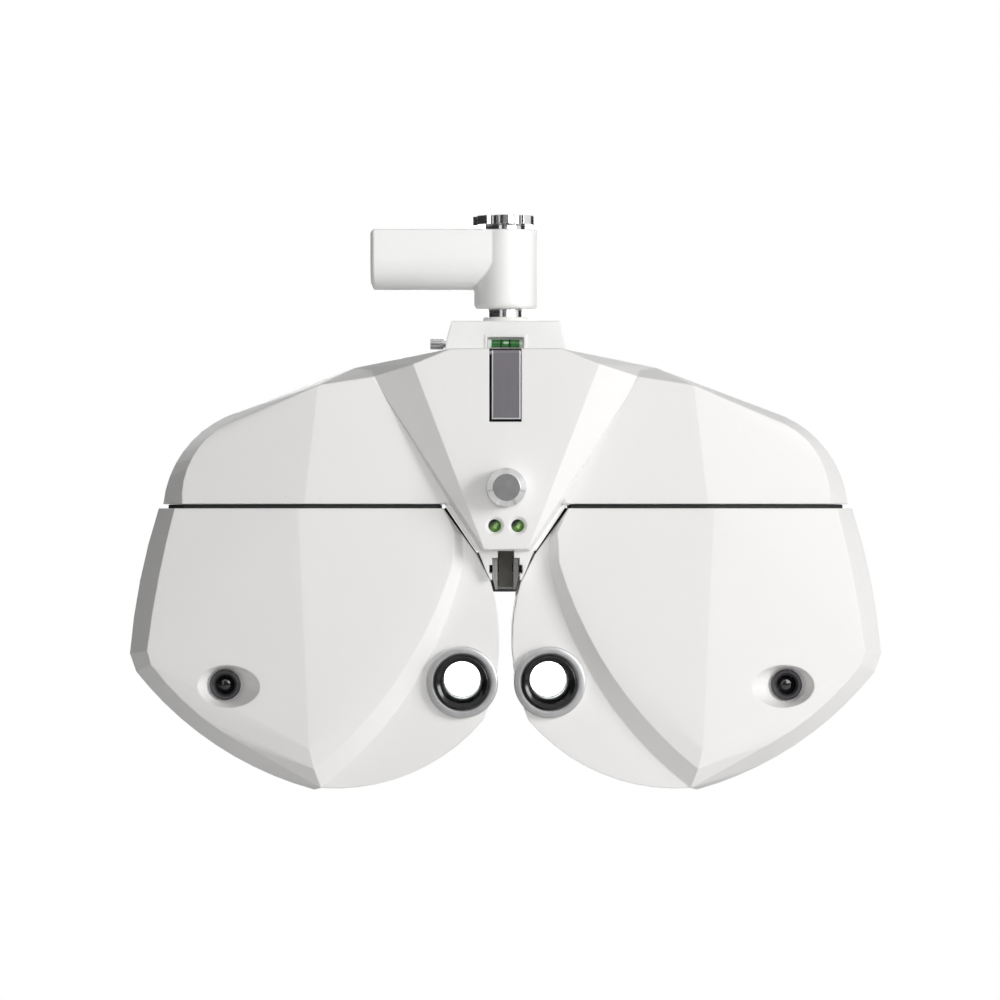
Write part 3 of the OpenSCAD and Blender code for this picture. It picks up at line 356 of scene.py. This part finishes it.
def dark_lens(name):
    """Deep dark lens of an alignment window, with a few paler clouds."""
    f = Finish(name)
    cloud = f.noise(f.place(), 240.0)
    return f.surface({
        "Base Color": f.mix(srgb(10, 11, 12), srgb(44, 46, 48), cloud ** 3.0),
        "Roughness": 0.04 + 0.04 * cloud,
        "Coat Weight": 0.6 + 0.3 * cloud,
        "Coat Roughness": 0.02,
        "IOR": 1.6,
    })


def vial_fluid(name):
    """Green fluid in a clear tube, with pale end caps."""
    f = Finish(name)
    at = f.place()
    cap_start = 0.0078
    cap = abs(f.axis(at, "X") - REACH * MM).over(cap_start)
    green = f.mix(srgb(26, 92, 40), srgb(70, 140, 72), f.noise(at, 500.0))
    return f.surface({
        "Base Color": f.mix(green, srgb(226, 230, 226), cap),
        "Roughness": 0.08 + 0.2 * cap,
        "Coat Weight": 0.9 - 0.6 * cap,
        "Coat Roughness": 0.03,
    })


def vial_bubble(name):
    """Pale glint of the air in the vial."""
    f = Finish(name)
    pale = f.noise(f.place(), 900.0)
    return f.surface({
        "Base Color": f.mix(srgb(150, 190, 150), srgb(206, 226, 204), pale),
        "Roughness": 0.06 + 0.05 * pale,
        "Coat Weight": 0.8 + 0.1 * pale,
    })


def lamp_lens(name):
    """Green lamp lens with a moulded stipple, with painted shade towards its upper-left side and a painted
    highlight near the middle.
    """
    f = Finish(name)
    at = f.place()
    stipple = f.node("ShaderNodeTexVoronoi", {"Vector": at, "Scale": 1500.0}, out="Distance")
    cloud = f.noise(at, 420.0)
    x, z = f.from_spot(at, 0.0, LAMP[1])
    x = x - x.sign() * (LAMP[0] * MM)
    # Painted shade: the lens darkens towards its upper-left side, as if shadowed by the rim of its recess.
    dark = f.ramp(z - x, -0.0002, 0.0030)
    # Painted highlight: a pale spot near the middle of the lens.
    painted_glint_x, painted_glint_z, painted_glint_core, painted_glint_edge = 0.0003, -0.0006, 0.0003, 0.0014
    from_painted_glint = ((x - painted_glint_x) ** 2.0 + (z - painted_glint_z) ** 2.0) ** 0.5
    painted_glint = f.ramp(from_painted_glint, painted_glint_edge, painted_glint_core)
    green = f.mix(srgb(50, 100, 32), srgb(114, 162, 68), cloud)
    green = f.mix(green, srgb(190, 218, 150), painted_glint * cloud)
    return f.surface({
        "Base Color": f.mix(green, srgb(14, 26, 12), dark),
        "Roughness": 0.12 + 0.1 * stipple,
        "Coat Weight": 0.5 + 0.3 * cloud,
        "Normal": f.relief(stipple, 0.00008, 0.5),
    })


def circuit_board(name):
    """Solder mask with pale tracks."""
    f = Finish(name)
    at = f.place()
    tracks = f.node("ShaderNodeTexBrick", {
        "Vector": f.stretched(at, (420.0, 420.0, 420.0)),
        "Color1": srgb(18, 78, 40),
        "Color2": srgb(16, 70, 36),
        "Mortar": srgb(60, 128, 74),
        "Mortar Size": 0.06,
        "Scale": 1.0,
    }, out="Color", offset=0.35)
    return f.surface({"Base Color": tracks, "Roughness": 0.3 + 0.1 * f.noise(at, 300.0)})


def frosted(name):
    """Milky guard of the eyepiece with a fine matt grain."""
    f = Finish(name)
    at = f.place()
    mist = f.noise(at, 1300.0, detail=3.0)
    return f.surface({
        "Base Color": f.mix(srgb(222, 226, 228), srgb(240, 242, 243), f.noise(at, 50.0)),
        "Roughness": 0.28 + 0.18 * mist,
        "Normal": f.relief(mist, 0.00003, 0.3, edge=0.0003),
        "Transmission Weight": 0.25,
    })


def soft_pad(name, colour):
    """Soft skin with a leather-like grain; in black it also colours the strips that stand in for the shade
    in the gaps.
    """
    f = Finish(name)
    at = f.place()
    sockets = {"Vector": at, "Scale": 900.0, "Smoothness": 0.6}
    cells = f.node("ShaderNodeTexVoronoi", sockets, out="Distance", feature="SMOOTH_F1")
    cloud = f.noise(at, 45.0, detail=3.0)
    return f.surface({
        "Base Color": f.mix(colour, paler(colour, 1.7, 0.01), cloud * 0.7 + cells * 0.3),
        "Roughness": 0.55 + 0.2 * cells,
        "Normal": f.relief(cells, 0.00018, 0.5),
    })


def turned_brass(name):
    """Brass with the fine rings of a lathe tool."""
    f = Finish(name)
    at = f.place()
    rings = (f.axis(at, "Y") * 9000.0).wave()
    cloud = f.noise(at, 120.0, detail=3.0)
    return f.surface({
        "Base Color": f.mix(srgb(168, 128, 58), srgb(206, 170, 96), cloud),
        "Metallic": 1.0,
        "Roughness": 0.24 + 0.12 * cloud,
        "Normal": f.relief(rings, 0.00001, 0.3, edge=0.0003),
    })


BEZEL_BLACK = dark_finish("bezel_black", srgb(14, 14, 15), 0.2)
BEZEL_GLOSS = dark_finish("bezel_gloss", srgb(12, 12, 13), 0.1, shine=0.4)
# Painted shade: near-black finish for the strips put in the gaps round the heads to stand in for their
# shadow.
GAP_SHADE_BLACK = soft_pad("gap_shade_black", srgb(12, 12, 12))
SLOT_FINISH = {
    "white_shell": moulded_shell("shell_white"),
    "arm_paint": sprayed_paint("arm_white"),
    "chrome": plated("plated_bright", 0.06),
    "steel": brushed("steel_brushed", srgb(150, 150, 153), "X", 0.26),
    "black_metal": dark_finish("black_oxide", srgb(44, 43, 42), 0.34, metallic=0.7),
    "aluminium": machined("milled_aluminium"),
    "black_plastic": dark_finish("housing_black", srgb(22, 22, 23), 0.42),
    "grey_plastic": dark_finish("ring_grey", srgb(66, 64, 68), 0.24, metallic=0.4),
    "glass": clear_glass("coated_glass", (0.93, 0.97, 0.96, 1.0)),
    "dark_glass": dark_lens("dark_lens"),
    "vial_glass": vial_fluid("vial_fluid"),
    "lamp_lens": lamp_lens("lamp_green"),
    "circuit_board": circuit_board("board_green"),
    "face_plastic": frosted("guard_frosted"),
    "pad_rubber": soft_pad("pad_skin", srgb(52, 52, 54)),
    "brass": turned_brass("turned_brass"),
}
NODE_FINISH = {
    "upper_front_cover": moulded_shell("shell_recess_shaded", recess_shade=True),
    "near_rod_holder": brushed("plate_brushed", srgb(116, 113, 118), "Z", 0.34, edge_highlight=True),
    "swivel_shaft": plated("shaft_ground", 0.12),
    "forehead_knob": plated("knob_plated", 0.12),
    "forehead_carriage": brushed("bar_brushed", srgb(96, 95, 91), "Z", 0.3),
    # Painted light: the clevis gets a lighter steel than the slot's, to make up for the shade of the V it
    # sits in.
    "hanger_clevis": brushed("clevis_brushed", srgb(178, 178, 178), "Z", 0.3),
}
for side, sign in SIDES.items():
    axis = (sign * WINDOW[0], WINDOW[1])
    NODE_FINISH[side + "_window_bezel"] = BEZEL_GLOSS
    NODE_FINISH[side + "_eyepiece"] = BEZEL_BLACK
    NODE_FINISH[side + "_window_ring"] = plated(side + "_ring_turned", 0.34, grooves=axis, tone=0.88)

for entry in frame["record"]["subparts"]:
    node = NODES[entry["node"]]
    node.data.materials.clear()
    node.data.materials.append(NODE_FINISH.get(entry["node"], SLOT_FINISH[entry["material_slot"]]))


def piece(name, bm, finish, body, smooth=True):
    """A new piece that moves with a body."""
    bmesh.ops.recalc_face_normals(bm, faces=bm.faces)
    mesh = bpy.data.meshes.new(name)
    bm.to_mesh(mesh)
    bm.free()
    if smooth:
        mesh.shade_smooth()
        mesh.set_sharp_from_angle(angle=SHARP_ANGLE)
    mesh.materials.append(finish)
    made = bpy.data.objects.new(name, mesh)
    bpy.context.scene.collection.objects.link(made)
    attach(made, body)
    return made


def circle(steps):
    """Points of a unit circle."""
    return [(math.cos(TURN * i / steps), math.sin(TURN * i / steps)) for i in range(steps)]


def square_axes(along):
    """A direction and two more at right angles to it."""
    away = Vector(along).normalized()
    side = away.orthogonal().normalized()
    return away, side, away.cross(side)


def join_loops(bm, first, second):
    """Faces between two loops of points."""
    count = len(first)
    for i in range(count):
        j = (i + 1) % count
        bm.faces.new((first[i], first[j], second[j], second[i]))


def rings_to_mesh(rings, capped=False):
    """Joins rings of points, each to the next, and then caps both ends or joins the last to the first."""
    bm = bmesh.new()
    loops = [[bm.verts.new(p) for p in ring] for ring in rings]
    for first, second in zip(loops, loops[1:]):
        join_loops(bm, first, second)
    if capped:
        bm.faces.new(loops[0])
        bm.faces.new(loops[-1])
    else:
        join_loops(bm, loops[-1], loops[0])
    return bm


def lathe(profile, centre, along, steps):
    """A closed profile of (radius, distance) turned about a line through centre, in millimetres."""
    away, side, up = square_axes(along)
    rings = []
    for radius, step in profile:
        middle = Vector(centre) + away * step
        rings.append([spot(*(middle + radius * (side * c + up * s))) for c, s in circle(steps)])
    return rings_to_mesh(rings)


def head_ring(name, side, profile, axis, finish, steps):
    """A turned ring in one head. The profile's distances are depths from the swivel axis."""
    x, z = axis
    bm = lathe(profile, (SIDES[side] * x, 0, z), BACKWARDS, steps)
    piece(side + name, bm, finish, side + "_head")


def cross_outline(arm, width):
    """Corners of a cross recess."""
    corners = []
    for quarter in range(4):
        turn = Matrix.Rotation(quarter * math.pi / 2, 2)
        corners += [turn @ Vector(p) for p in ((width, width), (width, arm), (-width, arm))]
    return corners


def hexagon(radius):
    """Corners of a hexagon recess."""
    return [Vector((radius * c, radius * s)) for c, s in circle(6)]


def driven_head(name, foot, radius, height, recess, depth, body, slot):
    """A screw head with a real recess, standing on foot and facing back, in millimetres."""
    away, side, up = square_axes(BACKWARDS)
    bm = bmesh.new()

    def ring(points, step):
        return [bm.verts.new(spot(*(Vector(foot) + away * step + side * p[0] + up * p[1]))) for p in points]

    # Shares of the radius and of the height, from the foot to the rim of the flat top
    dome = [(1.0, 0.0), (1.0, 0.45), (0.96, 0.72), (0.86, 0.92), (0.72, 1.0)]
    taper = 0.8
    round_points = [Vector(p) for p in circle(32)]
    loops = [ring([radius * share * p for p in round_points], height * rise) for share, rise in dome]
    for first, second in zip(loops, loops[1:]):
        join_loops(bm, first, second)
    rim = ring(recess, height)
    floor = ring([p * taper for p in recess], height - depth)
    edges = []
    for loop in (loops[-1], rim):
        for i in range(len(loop)):
            pair = (loop[i], loop[(i + 1) % len(loop)])
            edges.append(bm.edges.get(pair) or bm.edges.new(pair))
    bmesh.ops.triangle_fill(bm, edges=edges, use_beauty=True, use_dissolve=False)
    join_loops(bm, rim, floor)
    bm.faces.new(floor)
    bm.faces.new(loops[0])
    piece(name, bm, SLOT_FINISH[slot], body)


def brow_pad():
    """Cushioned brow rest: a crowned stadium, hollowed to the forehead and flat where it is backed."""
    half_w, half_h, thick, hollow = 31.6, 11.6, 12.4, 90.0
    straight = half_w - half_h
    roundness = 0.35
    inset = 0.2
    back = PAD_BACK_Y + inset
    outline = []
    for c, s in circle(72):
        outline.append((half_h * c + math.copysign(straight, c) * abs(c) ** roundness, half_h * s))
    # Shares of the outline and of the thickness, from the middle of the brow side to the middle of the back
    levels = [(0.02, 1.0), (0.3, 1.0), (0.55, 0.99), (0.74, 0.96), (0.87, 0.88), (0.95, 0.76), (0.99, 0.6),
              (1.0, 0.46), (0.985, 0.3), (0.95, 0.16), (0.88, 0.05), (0.8, 0.0), (0.4, 0.0), (0.02, 0.0)]
    rings = []
    for share, rise in levels:
        ring = []
        for x, z in outline:
            dip = thick / 2 + (x * share) ** 2 / (2 * hollow)
            ring.append(spot(x * share, back + min(dip, thick) * rise, PAD_Z + z * share))
        rings.append(ring)
    bm = rings_to_mesh(rings, capped=True)
    pad = piece("brow_pad", bm, SLOT_FINISH["pad_rubber"], "forehead_rest")
    smooth = pad.modifiers.new("softened", "SUBSURF")
    smooth.levels = 1
    smooth.render_levels = 1
    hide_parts("forehead_pad")


def level_marks():
    """Two black lines round the vial, and its bubble."""
    y, z = VIAL
    inner, outer = 2.2, 2.2 + 0.12
    line_x, half_foot, half_top = 2.4, 0.35, 0.3
    profile = [(inner, -half_foot), (outer, -half_top), (outer, half_top), (inner, half_foot)]
    for side, sign in SIDES.items():
        bm = lathe(profile, (sign * line_x, y, z), ACROSS, steps=40)
        piece(side + "_vial_line", bm, BEZEL_BLACK, "bridge")
    bubble_x, bubble_sunk, bubble_rise = 0.3, 0.35, 0.3
    middle = Matrix.Translation(spot(bubble_x, y - inner + bubble_sunk, z + bubble_rise))
    half_size = Matrix.Diagonal((2.0 * MM, 0.5 * MM, 0.9 * MM, 1.0))
    bm = bmesh.new()
    bmesh.ops.create_uvsphere(bm, u_segments=24, v_segments=12, radius=1.0, matrix=middle @ half_size)
    piece("vial_bubble", bm, vial_bubble("vial_bubble"), "bridge")


def window_baffles(side):
    """Fine light-trap ridges down the bore of a window tube."""
    bore, bedded, play, ridge = 12.0, 0.2, 0.02, 0.55
    first, pitch, count = -40.6, 1.3, 7
    last = first + pitch * count
    profile = []
    for i in range(count):
        y = first + pitch * i
        profile += [(bore - play, y), (bore - ridge, y + 0.5 * pitch)]
    profile += [(bore - play, last), (bore + bedded, last), (bore + bedded, first)]
    head_ring("_window_baffles", side, profile, WINDOW, BEZEL_BLACK, steps=72)


def window_trim(side):
    """Bright trim on the front of a window ring, with a rounded rim and a dished inner edge."""
    profile = [(19.0, -42.2), (19.62, -42.0), (19.62, -42.9), (19.5, -43.3), (19.2, -43.6),
               (18.8, -43.72), (17.4, -43.8), (16.2, -43.8), (15.9, -43.72), (15.6, -43.58),
               (14.75, -43.08), (14.75, -42.7), (18.2, -43.0)]
    head_ring("_window_trim", side, profile, WINDOW, NODE_FINISH[side + "_window_ring"], steps=96)


def window_funnel(side):
    """Glossy black funnel pressed into the front of a window bezel."""
    profile = [(14.2, -45.6), (14.2, -46.75), (14.05, -47.1), (13.75, -47.25), (13.5, -47.14),
               (12.1, -46.42), (11.85, -46.25), (11.65, -45.95), (11.65, -45.6), (11.95, -45.4)]
    head_ring("_window_funnel", side, profile, WINDOW, BEZEL_GLOSS, steps=96)


def align_retainer(side):
    """Thin threaded ring that keeps the alignment glass in its seat."""
    profile = [(5.45, -36.7), (5.2, -36.9), (5.0, -36.3), (5.15, -35.7), (5.0, -35.2), (5.45, -35.0)]
    head_ring("_align_retainer", side, profile, ALIGN_EYE, BEZEL_BLACK, steps=56)


def shade_strip_piece(name, side, rings, capped=False):
    """A dark strip on one head, with flat faces, that stands in for the shade in a gap."""
    bm = rings_to_mesh(rings, capped)
    piece(side + name, bm, GAP_SHADE_BLACK, side + "_head", smooth=False)


def gap_shade_band(side):
    """Dark strip on top of a head, put in the gap under the cover to stand in for its shade."""
    half, foot, top, chamfer = 1.5, -138.75, -136.6, 0.4
    route = [(37.0, -44.0), (110.5, -46.5), (176.0, -38.5), (185.0, -23.0), (185.0, 30.0), (178.0, 37.0),
             (43.0, 37.0), (37.0, 30.0)]
    count = len(route)

    def offset(reach, z):
        ring = []
        for i in range(count):
            here = Vector(route[i])
            before = (here - Vector(route[i - 1])).normalized()
            after = (Vector(route[(i + 1) % count]) - here).normalized()
            out = Vector((before.y + after.y, -before.x - after.x)) / (1 + before.dot(after))
            there = here + reach * out
            ring.append(spot(SIDES[side] * there.x, there.y, z))
        return ring

    levels = [(-half, foot), (-half, top - chamfer), (-half + chamfer, top),
              (half - chamfer, top), (half, top - chamfer), (half, foot)]
    # Painted shade: a dark strip fills the gap where only shadow would show.
    shade_strip_piece("_gap_shade_band", side, [offset(*level) for level in levels])


def throat_shade_band(side):
    """Dark strip on a head's slanted flank, put in the gap along the cover's throat to stand in for its
    shade.
    """
    front, back, play, bedded = -35.0, -25.0, 0.3, 0.05
    chamfer, shoulder, set_in = 0.4, 0.7, 0.4
    high, low = (Vector(p) for p in THROAT)
    along = (low - high).normalized()
    out = Vector((along.y, -along.x))
    rings = []
    for end, step, room in ((high, set_in, THROAT_ROOM[0]), (low, -set_in, THROAT_ROOM[1])):
        here = end + along * step
        foot = here - out * bedded
        brow = here + out * (room - play) * shoulder
        top = here + out * (room - play)
        section = [(foot, front), (brow, front), (top, front + chamfer),
                   (top, back - chamfer), (brow, back), (foot, back)]
        rings.append([spot(SIDES[side] * p.x, y, p.y) for p, y in section])
    # Painted shade: a dark strip fills the throat gap where only shadow would show.
    shade_strip_piece("_throat_shade_band", side, rings, capped=True)


def cover_screws():
    """Cross-recess screws that hold the patient-side covers."""
    cross = cross_outline(arm=1.75, width=0.42)
    bedded = 0.05
    places = {"bridge": [(-120, -126), (120, -126), (-58, -82), (58, -82)]}
    for side, sign in SIDES.items():
        right_places = ((178, -152), (186, -212), (110, -272), (52, -156))
        places[side + "_head"] = [(sign * x, z) for x, z in right_places]
    for body, spots in places.items():
        for i, (x, z) in enumerate(spots):
            driven_head("%s_screw_%d" % (body, i + 1), (x, REAR_Y - bedded, z), radius=3.2, height=1.5,
                        recess=cross, depth=1.0, body=body, slot="steel")


def arm_set_screw():
    """Socket screw in the tapped hole of the arm sleeve."""
    driven_head("arm_set_screw", ARM_SCREW, radius=2.95, height=3.2,
                recess=hexagon(1.6), depth=2.0, body="arm", slot="black_metal")


brow_pad()
level_marks()
cover_screws()
arm_set_screw()
for side in SIDES:
    window_baffles(side)
    window_trim(side)
    window_funnel(side)
    align_retainer(side)
    gap_shade_band(side)
    throat_shade_band(side)


def stage_plane(name, corners, finish):
    """A flat sheet of the studio, which is no piece of the part."""
    mesh = bpy.data.meshes.new(name)
    mesh.from_pydata(corners, [], [tuple(range(len(corners)))])
    mesh.materials.append(finish)
    made = bpy.data.objects.new(name, mesh)
    bpy.context.scene.collection.objects.link(made)
    return made


def pale_floor(reach, level):
    """Floor that keeps the shadow under the part and runs out to white."""
    f = Finish("floor_pale")
    at = f.place()
    x, y = f.axis(at, "X"), f.axis(at, "Y")
    away = (x * x + y * y) ** 0.5
    seen = f.ray("Is Camera Ray")
    pale = f.mix(srgb(243, 243, 243), srgb(247, 247, 247), f.noise(at, 30.0))
    matt = f.node("ShaderNodeBsdfDiffuse", {"Color": pale})
    white = f.node("ShaderNodeEmission", {"Color": WHITE, "Strength": 1.0})
    top = f.blend(matt, white, f.ramp(away, 0.3, 1.0, low=0.5) * seen)
    # From below the floor is clear, so that it never hides the part.
    below = f.node("ShaderNodeNewGeometry", out="Backfacing")
    clear = f.node("ShaderNodeBsdfTransparent")
    f.shown(f.blend(top, clear, below * seen))
    corners = [(-reach, -reach, level), (reach, -reach, level),
               (reach, reach, level), (-reach, reach, level)]
    stage_plane("floor", corners, f.material)


def grey_card(name, centre, width, height, shade, facing, edge=0.04):
    """A card round the part that only shine sees, running from shade at the middle to edge at the sides."""
    f = Finish(name)
    half_fall = 0.55
    off = (f.axis(f.place(), "X") - REACH * MM) / half_fall
    fall = (1.0 - off * off) | 0.0
    f.surface({
        "Base Color": BLACK,
        "Roughness": 1.0,
        "Emission Color": f.mix(grey(edge), grey(shade), fall),
        "Emission Strength": 1.0,
        "Specular IOR Level": 0.0,
    })
    middle = Vector(centre)
    side = Vector(facing).normalized().cross(Vector((0, 0, 1))).normalized() * width / 2
    up = Vector((0, 0, height / 2))
    corners = [middle - side - up, middle + side - up, middle + side + up, middle - side + up]
    card = stage_plane(name, [tuple(c) for c in corners], f.material)
    card.visible_camera = False
    card.visible_diffuse = False
    card.visible_shadow = False
    card.visible_transmission = False


def studio_world(strength):
    """Soft light from all round, seen as plain white by the camera, by shine and through glass."""
    world = bpy.data.worlds.new("studio")
    bpy.context.scene.world = world
    f = Finish("studio", world)
    seen = f.ray("Is Camera Ray") | f.ray("Is Glossy Ray") | f.ray("Is Transmission Ray")
    light = f.node("ShaderNodeBackground", {"Color": WHITE, "Strength": strength})
    white = f.node("ShaderNodeBackground", {"Color": WHITE, "Strength": 1.0})
    f.shown(f.blend(light, white, seen), "ShaderNodeOutputWorld")


def softbox(name, place, size, power, mirrored=True):
    """A square lamp that points at the part."""
    lamp = bpy.data.lights.new(name, "AREA")
    lamp.shape = "SQUARE"
    lamp.size = size
    lamp.energy = power
    made = bpy.data.objects.new(name, lamp)
    bpy.context.scene.collection.objects.link(made)
    made.location = place
    made.rotation_euler = (Vector(MIDDLE) - Vector(place)).to_track_quat("-Z", "Y").to_euler()
    made.visible_glossy = mirrored


def studio_camera():
    """Level camera that gives the photo's view."""
    lens = bpy.data.cameras.new("camera")
    lens.sensor_width = 36.0
    lens.lens = 121.8
    lens.shift_x = 0.033
    lens.shift_y = 0.018
    made = bpy.data.objects.new("camera", lens)
    bpy.context.scene.collection.objects.link(made)
    made.location = (0.0537, -1.896, -0.144)
    made.rotation_euler = (math.pi / 2, 0.0, 0.0)
    bpy.context.scene.camera = made


pale_floor(reach=6.0, level=-0.6)
grey_card("front_card", (0.35, -3.2, 0.05), 2.7, 1.7, shade=0.29, facing=(0.0, 1.0, 0.0))
grey_card("left_card", (-1.7, -1.3, 0.0), 1.5, 1.3, shade=0.04, facing=(0.8, 0.6, 0.0))
grey_card("left_back_card", (-1.9, 0.9, 0.0), 3.2, 1.3, shade=0.04, facing=(1.0, 0.0, 0.0))
grey_card("right_card", (2.1, 1.7, 0.0), 2.6, 1.3, shade=0.04, facing=(-1.0, 0.0, 0.0))
grey_card("glint_card", (1.0, -2.0, 0.56), 1.1, 1.1, shade=4.0, facing=(-0.5, 0.8, -0.3), edge=4.0)
studio_world(strength=0.13)
softbox("key", (1.88, -1.32, 0.36), size=0.9, power=33.0)
softbox("front_fill", (0.0, -2.1, 0.1), size=0.6, power=10.5, mirrored=False)
softbox("back_fill", (-0.35, 2.3, -0.05), size=1.6, power=30.0)
studio_camera()
bpy.context.scene.view_settings.view_transform = "Standard"
